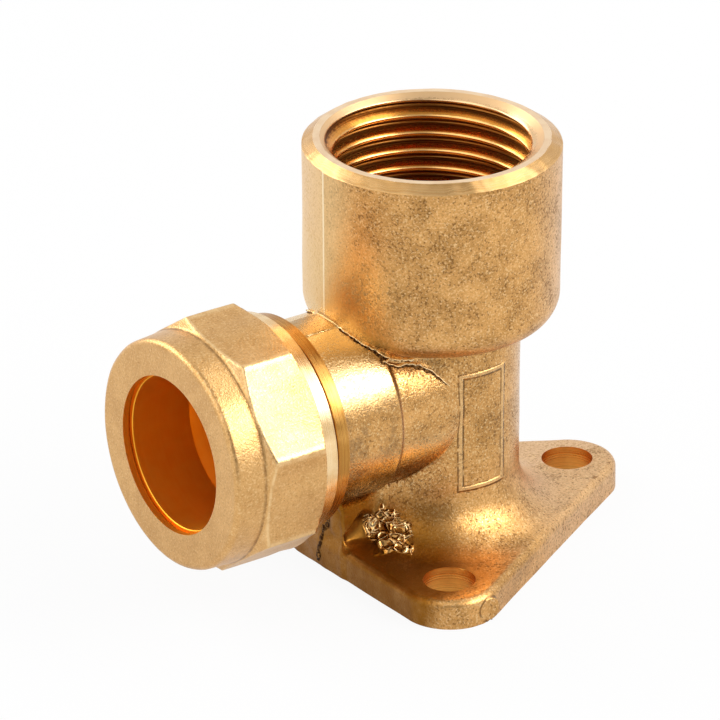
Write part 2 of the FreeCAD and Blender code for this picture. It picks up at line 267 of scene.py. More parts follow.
def rim_chamfer(p):
    """Cone that the socket's rim is turned to."""
    x, y, z = p.T
    r = np.hypot(x, y) + 0.05 * noise(x, y, 0 * z, 0.9)
    fall = (r - SOCKET_RADIUS) * RIM_DEPTH + (z - SOCKET_TOP + RIM_DEPTH) * RIM_WIDTH
    return fall / math.hypot(RIM_WIDTH, RIM_DEPTH)


def trimmed_strip(x, y, z):
    """Share of the strip on top of the arm where the flash was trimmed off."""
    edge = TRIM_HALF_WIDTH + 0.22 * noise(x, y, z, 0.7) - np.abs(y)
    return rise(-0.14, 0.14, edge) * rise(19.0, 21.0, z) * rise(10.6, 11.4, x)


def waviness(x, y, z):
    """Soft unevenness that forging leaves in the skin."""
    return 0.05 * noise(x, y, z, 7.0) + 0.025 * noise(x, y, z, 2.6)


def column(p):
    """Wall plate, flared neck and tap socket, before the arm is joined on."""
    x, y, z = p.T
    r = np.hypot(x, y)
    wave = waviness(x, y, z)
    neck = round_union(z - PLATE_THICK - 0.6 * wave, r - NECK_RADIUS - wave, FLARE_RADIUS)
    base = round_cut(neck, polygon(x, y, HOLES) - PLATE_CORNER - wave, PLATE_EDGE_ROUND)
    ejector = np.hypot(x - EJECTOR_X, z - EJECTOR_UP) - EJECTOR_RADIUS
    ejector = round_cut(ejector, np.maximum(y - EJECTOR_FACE, EJECTOR_FOOT - y), 0.14)
    base = round_union(base, ejector, 0.1)
    mismatch = 0.05 * rise(PARTING_Y + 0.06, PARTING_Y - 0.06, y)
    wall = r - SOCKET_RADIUS + SOCKET_DRAFT * (SOCKET_TOP - z) - 0.8 * wave + mismatch
    socket = round_cut(wall, SOCKET_FOOT - z, SHOULDER_ROUND)
    socket = np.maximum(np.maximum(socket, z - SOCKET_TOP), rim_chamfer(p))
    return round_union(base, socket, 0.7)


def arm_radius(x):
    """Radius of the arm, with its soft step, sinking into the front of the neck."""
    return ARM_ROOT_RADIUS + ARM_STEP * rise(ARM_STEP_FROM, ARM_STEP_TO, x) - ARM_SINK * rise(4.4, 1.8, x)


def forging(p):
    """The forged elbow, machined but for its threads."""
    x, y, z = p.T
    across = np.hypot(y, z - AXIS_UP)
    wave = waviness(x, y, z)
    # side arm with its step and its trimmed strip
    arm = np.maximum(across - arm_radius(x) - wave - 0.13 * trimmed_strip(x, y, z), -x)
    arm = round_cut(arm, x - ARM_END, 0.15)
    body = round_union(column(p), arm, 0.16 + 0.9 * rise(10.4, 9.4, x) * rise(19.5, 21.5, z))
    # web from the arm down to the plate, with a rough end
    lean = WEB_LEAN[0] * (z - WEB_MIDDLE) + WEB_LEAN[1] * (np.abs(y) - WEB_HALF_WIDTH) - wave
    end = x - WEB_END + 0.03 * np.abs(y) + 0.16 * noise(x, y, z, 0.9)
    web = round_cut(lean, np.maximum(end, z - AXIS_UP), 0.35)
    body = round_union(body, np.maximum(web, -x), 0.9)
    body = body - tear(p)
    return np.maximum(np.maximum(body, -z), -hollows(p))


def octagon(half_flats):
    """Corners of the nut's eight sides."""
    reach = half_flats / math.cos(math.pi / 8)
    turns = [math.radians(NUT_TURN + 45 * k) for k in range(8)]
    return [(reach * math.cos(t), reach * math.sin(t)) for t in turns]


EIGHT = octagon(NUT_HALF_FLATS - NUT_CORNER_ROUND)


def nut_back(p):
    """Round land turned on the nut's back, with a steep cone from it out to the corners."""
    x = p[:, 0] - NUT_BACK
    r = np.hypot(p[:, 1], p[:, 2] - AXIS_UP)
    land = r - NUT_LAND_RADIUS - NUT_LAND_TAPER * x
    cone = r - NUT_LAND_RADIUS - NUT_LAND_TAPER * NUT_LAND_LENGTH - NUT_BACK_SLOPE * (x - NUT_LAND_LENGTH)
    return np.minimum(land, cone / math.hypot(1, NUT_BACK_SLOPE))


def nut(p):
    """Compression nut without its thread."""
    x, y, z = p[:, 0] - NUT_BACK, p[:, 1], p[:, 2] - AXIS_UP
    r = np.hypot(y, z)
    wave = 0.04 * noise(p[:, 0], y, z + 9.0, 5.0) + 0.02 * noise(p[:, 0], y, z + 9.0, 2.0)
    flats = polygon(y, z, EIGHT) - NUT_CORNER_ROUND - wave
    cone = NUT_CONE_AHEAD * (x - NUT_SHOULDER) + NUT_CONE_OUT * (r - NUT_COLLAR_FOOT)
    flats = round_cut(flats, cone - wave, 0.16)
    collar = round_cut(r - NUT_COLLAR - NUT_COLLAR_TAPER * (NUT_LENGTH - x) - wave, x - NUT_LENGTH, 0.55)
    body = round_union(flats, collar, 0.2)
    body = round_cut(body, nut_back(p), 0.06)
    return np.maximum(np.maximum(body, -x), -nut_hollow(p))


def nut_hollow(p):
    """The nut's bore, its seat and the room for its thread."""
    x = p[:, 0] - NUT_BACK
    r = np.hypot(p[:, 1], p[:, 2] - AXIS_UP)
    return np.minimum(r - NUT_BORE, np.maximum(0.7071 * (r - NUT_BORE + x - NUT_SEAT_FOOT), r - NUT_ROOM))


# Meshes from fields

def slope(field, p, h=0.012):
    """Unit gradient of a field at points."""
    out = np.empty_like(p)
    for k in range(3):
        d = np.zeros(3)
        d[k] = h
        out[:, k] = field(p + d) - field(p - d)
    return out / np.maximum(np.linalg.norm(out, axis=1), 1e-9)[:, None]


def stops(low, high, coarse, fine, zones):
    """Grid planes from low to high, closer together inside the zones."""
    out = [low]
    while out[-1] < high:
        inside = any(a <= out[-1] < b for a, b in zones)
        out.append(out[-1] + (fine if inside else coarse))
    return np.array(out)


def crossings(field, values, axes, k):
    """The skin's crossings of grid lines along axis k: grid places, points, and if it leaves the metal."""
    low = [slice(None)] * 3
    high = [slice(None)] * 3
    low[k] = slice(0, -1)
    high[k] = slice(1, None)
    at = np.argwhere((values[tuple(low)] < 0) != (values[tuple(high)] < 0))
    ahead = at.copy()
    ahead[:, k] += 1
    a = np.stack([axes[m][at[:, m]] for m in range(3)], axis=1)
    b = np.stack([axes[m][ahead[:, m]] for m in range(3)], axis=1)
    fa = values[tuple(at.T)]
    fb = values[tuple(ahead.T)]
    leaves = fa < 0
    for _ in range(4):
        middle = a + (b - a) * np.clip(fa / (fa - fb), 0.02, 0.98)[:, None]
        fm = field(middle)
        same = (fm < 0) == (fa < 0)
        a = np.where(same[:, None], middle, a)
        fa = np.where(same, fm, fa)
        b = np.where(same[:, None], b, middle)
        fb = np.where(same, fb, fm)
    return at, a + (b - a) * (fa / (fa - fb))[:, None], leaves


def skin(field, xs, ys, zs):
    """Points and triangles of the surface where a field is zero, with its sharp edges kept."""
    axes = (xs, ys, zs)
    size = tuple(len(a) for a in axes)
    values = np.empty(size)
    for i in range(0, size[0], 8):
        block = np.stack(np.meshgrid(xs[i:i + 8], ys, zs, indexing="ij"), axis=-1)
        values[i:i + 8] = field(block.reshape(-1, 3)).reshape(block.shape[:3])
    strides = np.array((size[1] * size[2], size[2], 1))
    cells, points, normals, loops = [], [], [], []
    for k in range(3):
        at, cross, leaves = crossings(field, values, axes, k)
        normal = slope(field, cross)
        u, v = strides[(k + 1) % 3], strides[(k + 2) % 3]
        home = at @ strides
        around = np.stack([home - u - v, home - v, home, home - u], axis=1)
        loops.append(np.where(leaves[:, None], around, around[:, ::-1]))
        cells.append(around.T.ravel())
        points.append(np.tile(cross, (4, 1)))
        normals.append(np.tile(normal, (4, 1)))
    cells, points, normals = np.concatenate(cells), np.concatenate(points), np.concatenate(normals)
    names, which = np.unique(cells, return_inverse=True)
    count = np.bincount(which)
    middle = np.stack([np.bincount(which, points[:, m]) / count for m in range(3)], axis=1)
    reach = np.einsum("ij,ij->i", normals, points - middle[which])
    system = np.zeros((len(names), 3, 3))
    right = np.zeros((len(names), 3))
    for m in range(3):
        right[:, m] = np.bincount(which, normals[:, m] * reach)
        for n in range(3):
            system[:, m, n] = np.bincount(which, normals[:, m] * normals[:, n])
        system[:, m, m] += 0.04
    place = middle + np.linalg.solve(system, right[:, :, None])[:, :, 0]
    index = np.stack(np.unravel_index(names, size), axis=1)
    for m in range(3):
        place[:, m] = np.clip(place[:, m], axes[m][index[:, m]], axes[m][index[:, m] + 1])
    place = np.clip(place, LOW, HIGH)
    quads = np.searchsorted(names, np.concatenate(loops))
    q = place[quads]
    first = np.abs(field((q[:, 0] + q[:, 2]) / 2)) <= np.abs(field((q[:, 1] + q[:, 3]) / 2))
    tris = [quads[first][:, [0, 1, 2]], quads[first][:, [0, 2, 3]]]
    tris += [quads[~first][:, [0, 1, 3]], quads[~first][:, [1, 2, 3]]]
    return place, np.concatenate(tris)


def corner_normals(field, points, tris):
    """Normal of the field just inside each triangle's corners, so that sharp edges stay sharp."""
    corners = points[tris]
    inner = corners * 0.8 + corners.mean(axis=1, keepdims=True) * 0.2
    return slope(field, inner.reshape(-1, 3))


def add_piece(name, points, faces, materials, slots=None, normals=None):
    """Mesh object from points in millimetres."""
    mesh = bpy.data.meshes.new(name)
    mesh.from_pydata((np.asarray(points) * MM).tolist(), [], np.asarray(faces).tolist())
    for material in materials:
        mesh.materials.append(material)
    if slots is not None:
        mesh.polygons.foreach_set("material_index", np.asarray(slots, dtype=np.int32))
    mesh.shade_smooth()
    if normals is not None:
        mesh.normals_split_custom_set(normals.tolist())
    mesh.update()
    piece = bpy.data.objects.new(name, mesh)
    bpy.context.scene.collection.objects.link(piece)
    return piece


# Turned pieces

def along_x(station, radius, angle):
    """Points about the arm's axis."""
    return np.stack([station, radius * np.cos(angle), AXIS_UP + radius * np.sin(angle)], axis=-1)


def along_z(station, radius, angle):
    """Points about the socket's axis."""
    return np.stack([radius * np.cos(angle), radius * np.sin(angle), station], axis=-1)


def lathe(name, section, about, materials, steps=192):
    """Ring turned from a closed section of (station, radius, slot of the run that starts there)."""
    count = len(section)
    angle = np.linspace(0, 2 * math.pi, steps, endpoint=False)
    station = np.array([s for s, _, _ in section])
    radius = np.array([r for _, r, _ in section])
    points = about(station[None, :] + 0 * angle[:, None], radius[None, :] + 0 * angle[:, None],
                   angle[:, None] + 0 * station[None, :]).reshape(-1, 3)
    faces = []
    for i in range(steps):
        j = (i + 1) % steps
        for a in range(count):
            b = (a + 1) % count
            faces.append((i * count + a, i * count + b, j * count + b, j * count + a))
    slots = [slot for _, _, slot in section] * steps
    piece = add_piece(name, points, faces, materials, slots)
    piece.data.set_sharp_from_angle(angle=math.radians(32))
    return piece


def rounded_teeth(phase):
    """Thread form between -1 and 1: straight flanks with rounded roots and slightly flattened crests."""
    wave = np.arcsin(0.99 * np.sin(2 * math.pi * phase)) / math.asin(0.99)
    return np.clip(1.2 * wave, -1, 1)


def thread(name, about, low, high, ends, radius_at, materials, steps=160, rows=14, inner=True):
    """Right-hand thread between two stations, shaped by radius_at(phase, station), closed at both ends."""
    turn = np.arange(steps) / steps
    row = np.arange(int((high - low) / PITCH + 3) * rows)
    station = low + (row[None, :] / rows - 1 + turn[:, None]) * PITCH
    before, after = station <= low, station >= high
    station = np.clip(station, low, high)
    phase = (row / rows)[None, :] + 0 * turn[:, None]
    angle = 2 * math.pi * turn[:, None] + 0 * station
    radius = np.where(before, ends[0], np.where(after, ends[1], radius_at(phase, station)))
    points = about(station, radius, angle).reshape(-1, 3)
    count = len(row)
    flat = (before | after).ravel()
    faces = []
    for i in range(steps):
        shift = rows if i == steps - 1 else 0
        j = (i + 1) % steps
        for a in range(count - 1 - shift):
            face = (i * count + a, i * count + a + 1, j * count + a + 1 + shift, j * count + a + shift)
            if not flat[list(face)].all():
                faces.append(face if inner else face[::-1])
    used, places = np.unique(faces, return_inverse=True)
    return add_piece(name, points[used], places.reshape(-1, 4), materials)


def burr_path(hand, low, high, step):
    """Seam between the arm and the column: its corner from y low to y high, then the fold line."""
    y = np.arange(low, high, 0.01)
    near, far = np.full(len(y), 2.0), np.full(len(y), 15.0)
    for _ in range(24):
        x = (near + far) / 2
        z = AXIS_UP + np.sqrt(arm_radius(x) ** 2 - y ** 2)
        inside = column(np.stack([x, hand * y, z], axis=1)) < 0
        near, far = np.where(inside, x, near), np.where(inside, far, x)
    x = np.concatenate([near, FOLD_X])
    y = np.concatenate([y, FOLD_Y])
    path = np.stack([x, hand * y, AXIS_UP + np.sqrt(arm_radius(x) ** 2 - y ** 2)], axis=1)
    run = np.concatenate([[0], np.cumsum(np.linalg.norm(np.diff(path, axis=0), axis=1))])
    even = np.arange(0, run[-1], step)
    even = np.stack([np.interp(even, run, path[:, k]) for k in range(3)], axis=1)
    for _ in range(12):
        even[1:-1] = (even[:-2] + 2 * even[1:-1] + even[2:]) / 4
    return settle(even, 0.0)


def settle(points, lift):
    """Points brought onto the forging's skin and lifted a little off it."""
    for _ in range(4):
        points = points - forging(points)[:, None] * slope(forging, points)
    return points + lift * slope(forging, points)


def ribbon(rows):
    """Points and faces of a strip through rows of points that run side by side."""
    count = len(rows)
    faces = []
    for i in range(len(rows[0]) - 1):
        for a in range(count - 1):
            here, there = i * count + a, (i + 1) * count + a
            faces.append((here, here + 1, there + 1, there))
    return np.stack(rows, axis=1).reshape(-1, 3), faces


def seam_ways(path, hand):
    """Unit directions at a seam: out of its corner, across it towards the arm, and along the arm's skin."""
    ahead = np.gradient(path, axis=0)
    ahead /= np.linalg.norm(ahead, axis=1)[:, None]
    wall = slope(column, path)
    arm_out = path * [0, 1, 1] - [0, 0, AXIS_UP]
    arm_out /= np.linalg.norm(arm_out, axis=1)[:, None]
    out = wall + arm_out
    out /= np.linalg.norm(out, axis=1)[:, None]
    return out, hand * np.cross(ahead, out), hand * np.cross(ahead, arm_out)


def burr(name, path, hand, flake, materials):
    """Ragged ridge of squeezed-out flash along a path, with one torn flake standing up from it."""
    x, y, z = path.T
    out, side, _ = seam_ways(path, hand)
    ends = rise(0, 12, np.arange(len(path))) * rise(0, 12, np.arange(len(path))[::-1])
    ragged = 0.5 + 0.5 * noise(x, y, z, 0.3) + 0.35 * noise(x, y, z, 0.14)
    torn = np.exp(-(np.linalg.norm(path - flake, axis=1) / 0.3) ** 2)
    height = ends * (0.14 + 0.28 * ragged * rise(7.4, 6.4, np.abs(y)) + 0.8 * torn)
    lean = 0.14 * noise(x + 5, y, z, 0.3) + 0.25 * torn
    across = [-0.12 + 0 * lean, -0.08 + 0.4 * lean, lean, 0.06 + 0.4 * lean, 0.08 + 0 * lean]
    above = [-0.2 + 0 * height, 0.55 * height, height, 0.55 * height, -0.2 + 0 * height]
    rows = [path + side * a[:, None] + out * b[:, None] for a, b in zip(across, above)]
    points, faces = ribbon(rows)
    return add_piece(name, points, faces, materials)


def crack(name, path, hand, flake, materials):
    """Dark ragged crack that runs beside the flash, on the arm: a ribbon of painted shade lying on the
    skin.
    """
    x, y, z = path.T
    _, _, along = seam_ways(path, hand)
    ends = rise(0, 10, np.arange(len(path))) * rise(0, 25, np.arange(len(path))[::-1])
    ragged = 0.5 + 0.5 * noise(x, y, z + 3, 0.35) + 0.3 * noise(x, y, z + 3, 0.15)
    torn = np.exp(-(np.linalg.norm(path - flake, axis=1) / 0.6) ** 2)
    fold = rise(6.2, 6.6, np.abs(y)) * rise(7.6, 7.0, np.abs(y))
    width = ends * (0.12 + 0.18 * ragged + 0.3 * torn + 0.16 * fold)
    rows = [settle(path + along * (0.06 + share * width)[:, None], 0.03) for share in (0.0, 0.5, 1.0)]
    points, faces = ribbon(rows)
    return add_piece(name, points, faces, materials)


def web_seam(name, low, high, lift, width, materials):
    """Ragged line where the two die halves met on the web's end, from height high down to low."""
    z = np.arange(high, low, -0.05)
    y = PARTING_Y + 0.3 + 0.9 * rise(1.5, 5.0, z) + 0.3 * noise(0 * z, 0 * z, z, 0.8)
    path = settle(np.stack([WEB_END + 0.35 + 0 * z, y, z], axis=1), 0.0)
    out = slope(forging, path)
    side = np.cross(np.gradient(path, axis=0), out)
    side /= np.linalg.norm(side, axis=1)[:, None]
    x, y, z = path.T
    ragged = 0.6 + 0.5 * noise(x, y, z + 4, 0.35) + 0.4 * noise(x, y, z + 4, 0.15)
    rows = []
    for share in (-1.0, -0.35, 0.35, 1.0):
        up = lift * ragged * (1 - abs(share)) + 0.02
        spread = side * (share * width * (0.4 + 0.6 * ragged))[:, None]
        rows.append(settle(path + spread, 0.0) + out * up[:, None])
    points, faces = ribbon(rows)
    return add_piece(name, points, faces, materials)


# Shader nodes

def add_node(tree, kind, values=None, **settings):
    """Adds a shader node; values fill its inputs by name or number, and a socket given there is linked."""
    made = tree.nodes.new("ShaderNode" + kind)
    for name, setting in settings.items():
        setattr(made, name, setting)
    for key, value in (values or {}).items():
        if isinstance(value, bpy.types.NodeSocket):
            tree.links.new(value, made.inputs[key])
        else:
            made.inputs[key].default_value = value
    return made


def reckon(tree, operation, a, b=0.0):
    """One sum on two values."""
    return add_node(tree, "Math", {0: a, 1: b}, operation=operation).outputs[0]


def ramp(tree, value, low, high, start=0.0, end=1.0):
    """Smooth step of a value between low and high."""
    return add_node(tree, "MapRange", {"Value": value, "From Min": low, "From Max": high, "To Min": start,
                                       "To Max": end}, interpolation_type="SMOOTHSTEP").outputs[0]


def blend(tree, share, first, second):
    """Mix of two colours."""
    return add_node(tree, "Mix", {0: share, 6: first, 7: second}, data_type="RGBA").outputs[2]


def product(tree, *shares):
    """Several shares multiplied together."""
    total = shares[0]
    for share in shares[1:]:
        total = reckon(tree, "MULTIPLY", total, share)
    return total


def window(tree, *sides):
    """Share that is 1 where every value, given with its low and high, has passed from low to high."""
    return product(tree, *[ramp(tree, value, low, high) for value, low, high in sides])


def near_value(tree, value, middle, reach, edge):
    """Share that is 1 within edge of a value and fades to 0 at reach from it."""
    away = reckon(tree, "ABSOLUTE", reckon(tree, "SUBTRACT", value, middle))
    return ramp(tree, away, reach, edge)


def lay(tree, colour, tint, *shares):
    """A tint laid over a colour, by several shares multiplied together."""
    return blend(tree, product(tree, *shares), colour, tint)


def distance(tree, x=0.0, y=0.0, z=0.0):
    """Length of a vector that is given by its three values."""
    vector = add_node(tree, "CombineXYZ", {0: x, 1: y, 2: z}).outputs[0]
    return add_node(tree, "VectorMath", {0: vector}, operation="LENGTH").outputs["Value"]


def xyz(tree, place):
    """The three values of a place."""
    return add_node(tree, "SeparateXYZ", {0: place}).outputs


def lumps(tree, place, size, detail=2.0, roughness=0.5):
    """Noise whose lumps are about size millimetres across."""
    return add_node(tree, "TexNoise", {"Vector": place, "Scale": 1 / size, "Detail": detail,
                                       "Roughness": roughness}).outputs[0]


def new_group(name, inputs, outputs):
    """Empty node group with named inputs (name, kind, default) and outputs (name, kind)."""
    tree = bpy.data.node_groups.new(name, "ShaderNodeTree")
    for label, kind, default in inputs:
        socket = tree.interface.new_socket(label, in_out="INPUT", socket_type="NodeSocket" + kind)
        if default is not None:
            socket.default_value = default
    for label, kind in outputs:
        tree.interface.new_socket(label, in_out="OUTPUT", socket_type="NodeSocket" + kind)
    return tree, tree.nodes.new("NodeGroupInput").outputs, tree.nodes.new("NodeGroupOutput").inputs


def mottle_group():
    """Patches, dark specks and fine grain of a tumbled forging."""
    tree, given, out = new_group(
        "tumbled mottle",
        [("Place", "Vector", None), ("Patch Size", "Float", 3.0), ("Speck Size", "Float", 0.4)],
        [("Patches", "Float"), ("Specks", "Float"), ("Grain", "Float")])
    by_patch = reckon(tree, "DIVIDE", 1.0, given["Patch Size"])
    by_speck = reckon(tree, "DIVIDE", 1.0, given["Speck Size"])
    broad = add_node(tree, "TexNoise", {"Vector": given["Place"], "Scale": by_patch, "Detail": 6.0,
                                        "Roughness": 0.72})
    fine = add_node(tree, "TexNoise", {"Vector": given["Place"], "Scale": by_speck, "Detail": 2.0,
                                       "Roughness": 0.6})
    crowded = reckon(tree, "MULTIPLY", reckon(tree, "SUBTRACT", 0.5, broad.outputs[0]), 0.45)
    tree.links.new(ramp(tree, broad.outputs[0], 0.32, 0.68), out["Patches"])
    tree.links.new(ramp(tree, reckon(tree, "ADD", fine.outputs[0], crowded), 0.52, 0.66), out["Specks"])
    tree.links.new(ramp(tree, lumps(tree, given["Place"], 0.2, 2.0, 0.6), 0.25, 0.75), out["Grain"])
    return tree


def tool_lines_group():
    """Fine lines that a tool leaves along one direction: the same value wherever Along is the same."""
    tree, given, out = new_group(
        "tool lines",
        [("Along", "Float", 0.0), ("Spacing", "Float", 0.1)],
        [("Lines", "Float")])
    where = reckon(tree, "DIVIDE", given["Along"], given["Spacing"])
    lines = add_node(tree, "TexNoise", {"W": where, "Scale": 1.0, "Detail": 2.0, "Roughness": 0.6},
                     noise_dimensions="1D")
    tree.links.new(lines.outputs[0], out["Lines"])
    return tree


MOTTLE = mottle_group()
TOOL_LINES = tool_lines_group()


def tumbled(tree, place, patch, speck):
    """Outputs of the tumbled mottle, with its own sizes of patches and specks in millimetres."""
    return add_node(tree, "Group", {"Place": place, "Patch Size": patch, "Speck Size": speck},
                    node_tree=MOTTLE).outputs


def tool_marks(tree, along, spacing):
    """Tool lines along a value, with their own spacing in millimetres."""
    return add_node(tree, "Group", {"Along": along, "Spacing": spacing}, node_tree=TOOL_LINES).outputs[0]


def new_brass(name):
    """Material with a metal shader; also gives its tree and the place on the piece in millimetres."""
    material = bpy.data.materials.new(name)
    material.use_nodes = True
    tree = material.node_tree
    shader = tree.nodes["Principled BSDF"]
    shader.inputs["Metallic"].default_value = 1.0
    spot = add_node(tree, "TexCoord").outputs["Object"]
    place = add_node(tree, "VectorMath", {0: spot, "Scale": 1 / MM}, operation="SCALE").outputs[0]
    return material, tree, shader, place


def finish_brass(tree, shader, colour, roughness, height, depth):
    """Links colour, roughness and a bump of a depth in millimetres to a metal shader."""
    bump = add_node(tree, "Bump", {"Strength": 1.0, "Distance": depth * MM, "Height": height})
    tree.links.new(colour, shader.inputs["Base Color"])
    tree.links.new(roughness, shader.inputs["Roughness"])
    tree.links.new(bump.outputs[0], shader.inputs["Normal"])


GOLD = (0.77, 0.42, 0.145, 1)
BROWN = (0.50, 0.26, 0.08, 1)
PINK = (0.82, 0.54, 0.31, 1)
DARK = (0.20, 0.095, 0.03, 1)
PALE = (0.92, 0.64, 0.32, 1)
# Dark brown of the painted shade under the nut
UNDER_NUT_SHADE = (0.27, 0.105, 0.009, 1)


def forged_brass():
    """Tumbled forging: gold and brown patches with dark specks, and the marks of the die."""
    material, tree, shader, place = new_brass("forged brass")
    x, y, z = xyz(tree, place)
    from_axis = distance(tree, y=y, z=reckon(tree, "SUBTRACT", z, AXIS_UP))
    mottle = tumbled(tree, place, 4.0, 0.25)
    grain = mottle["Grain"]
    specks = mottle["Specks"]
    colour = blend(tree, mottle["Patches"], BROWN, GOLD)
    # the other die half is smoother and a little pink, and so is the far side of the plate
    other = ramp(tree, y, PARTING_Y + 0.15, PARTING_Y - 0.15)
    colour = lay(tree, colour, PINK, other, 0.8)
    colour = lay(tree, colour, PINK, ramp(tree, x, -2.0, -9.0, 0.0, 0.5))
    colour = lay(tree, colour, BROWN, ramp(tree, grain, 0.45, 0.0), 0.7)
    colour = lay(tree, colour, DARK, specks, ramp(tree, other, 0.0, 1.0, 0.72, 0.3))
    colour = lay(tree, colour, PALE, ramp(tree, grain, 0.6, 1.0), 0.7)
    # paler beside the parting line, a painted reflection making the top of the arm paler, and a painted
    # reflection making the socket above the arm yellower
    by_line = window(tree, (y, 5.0, 0.5), (z, 19.5, 22.5), (x, 7.5, 10.5))
    arm_top_reflection = window(tree, (z, 19.0, 22.0), (x, 9.0, 11.0), (from_axis, 9.8, 9.4))
    reflection_above_arm = window(tree, (y, 9.0, 5.5), (x, 6.0, 8.5), (z, 23.5, 25.0), (z, 36.0, 30.0))
    colour = lay(tree, colour, (0.73, 0.53, 0.21, 1), reflection_above_arm, 0.35)
    paler = reckon(tree, "MAXIMUM", product(tree, by_line, 0.55), product(tree, arm_top_reflection, 0.8))
    colour = lay(tree, colour, (0.88, 0.62, 0.30, 1), paler)
    # painted shade: dark brown on the plate and the web under the nut, varied by the patches
    low = window(tree, (z, 9.5, 4.0), (x, 1.0, 7.5), (y, 18.2, 16.0))
    under_nut_shade = window(tree, (z, 12.0, 8.0), (x, 7.0, 10.0), (y, 12.0, 9.0))
    shade_patchiness = ramp(tree, mottle["Patches"], 0.0, 1.0, 1.0, 0.8)
    colour = lay(tree, colour, UNDER_NUT_SHADE, reckon(tree, "MAXIMUM", low, under_nut_shade), shade_patchiness)
    # paler underside of the arm, on its own skin
    arm_skin = ramp(tree, x, ARM_STEP_FROM, ARM_STEP_TO, ARM_ROOT_RADIUS, ARM_ROOT_RADIUS + ARM_STEP)
    off_skin = reckon(tree, "SUBTRACT", from_axis, arm_skin)
    belly = window(tree, (z, 16.0, 13.0), (off_skin, 0.22, 0.1), (x, 3.0, 6.0))
    colour = lay(tree, colour, (0.57, 0.42, 0.21, 1), belly, 0.85)
    # thin bright parting line up the socket
    line = near_value(tree, y, PARTING_Y, 0.22, 0.1)
    colour = lay(tree, colour, (1.0, 0.84, 0.56, 1), line, ramp(tree, z, 22.0, 24.0), 0.9)
    # dark line along the arm's step
    step = near_value(tree, x, 9.75, 0.32, 0.08)
    colour = lay(tree, colour, DARK, step, window(tree, (z, 11.0, 18.0), (from_axis, 9.5, 9.2)), 0.6)
    # grey smudges on the front of the arm
    smears = lumps(tree, place, 2.4, 5.0, 0.75)
    smudge = window(tree, (smears, 0.46, 0.6), (from_axis, 9.6, 9.3), (x, 10.0, 11.0), (z, 22.0, 19.5))
    colour = lay(tree, colour, (0.32, 0.19, 0.085, 1), smudge, 0.6)
    # raised frame on the neck, with a broken dark line of painted shade beside its rails and a faint
    # painted highlight on them
    wide = reckon(tree, "SUBTRACT", reckon(tree, "ABSOLUTE", x), FRAME_HALF_WIDTH)
    from_middle = reckon(tree, "ABSOLUTE", reckon(tree, "SUBTRACT", z, FRAME_MIDDLE))
    tall = reckon(tree, "SUBTRACT", from_middle, FRAME_HALF_HEIGHT)
    rail = reckon(tree, "ABSOLUTE", reckon(tree, "MAXIMUM", wide, tall))
    on_neck = ramp(tree, y, 4.0, 5.0)
    rail_and_highlight = product(tree, ramp(tree, rail, 0.3, 0.12), on_neck)
    broken = ramp(tree, lumps(tree, place, 0.8, 1.0), 0.38, 0.55)
    beside = window(tree, (rail, 0.16, 0.22), (rail, 0.42, 0.28))
    colour = lay(tree, colour, DARK, beside, on_neck, broken, 0.95)
    colour = lay(tree, colour, PALE, rail_and_highlight, 0.3)
    # dark outline of painted shade round the foot of the ejector's disc on the plate's edge
    disc_x = reckon(tree, "SUBTRACT", x, EJECTOR_X)
    from_disc = distance(tree, x=disc_x, z=reckon(tree, "SUBTRACT", z, EJECTOR_UP))
    disc_shade_line = near_value(tree, from_disc, EJECTOR_RADIUS + 0.07, 0.16, 0.05)
    colour = lay(tree, colour, DARK, disc_shade_line, ramp(tree, y, 16.5, 17.5), broken, 0.8)
    height = reckon(tree, "ADD", grain, product(tree, specks, -0.5))
    height = reckon(tree, "ADD", height, product(tree, rail_and_highlight, 11.0))
    # trimmed strip on the arm: tool marks across it, and a pale line of painted highlight along its raised
    # torn edge
    off_middle = reckon(tree, "ABSOLUTE", y)
    on_arm = window(tree, (x, 11.0, 11.6), (z, 23.0, 24.5), (from_axis, 9.7, 9.45))
    strip = product(tree, ramp(tree, off_middle, TRIM_HALF_WIDTH + 0.15, TRIM_HALF_WIDTH - 0.15), on_arm)
    height = reckon(tree, "ADD", height, product(tree, tool_marks(tree, x, 0.22), strip, 2.0))
    colour = lay(tree, colour, (0.50, 0.29, 0.10, 1), strip, 0.85)
    # pale line of painted highlight along the strip's torn edge
    edge = near_value(tree, off_middle, TRIM_HALF_WIDTH + 0.03, 0.2, 0.06)
    colour = lay(tree, colour, PALE, edge, on_arm, broken, 0.9)
    # the arm is smoother than the socket
    dull = ramp(tree, from_axis, 9.5, 11.0, 0.23, 0.34)
    roughness = reckon(tree, "ADD", dull, product(tree, specks, 0.2))
    finish_brass(tree, shader, colour, roughness, height, 0.011)
    return material


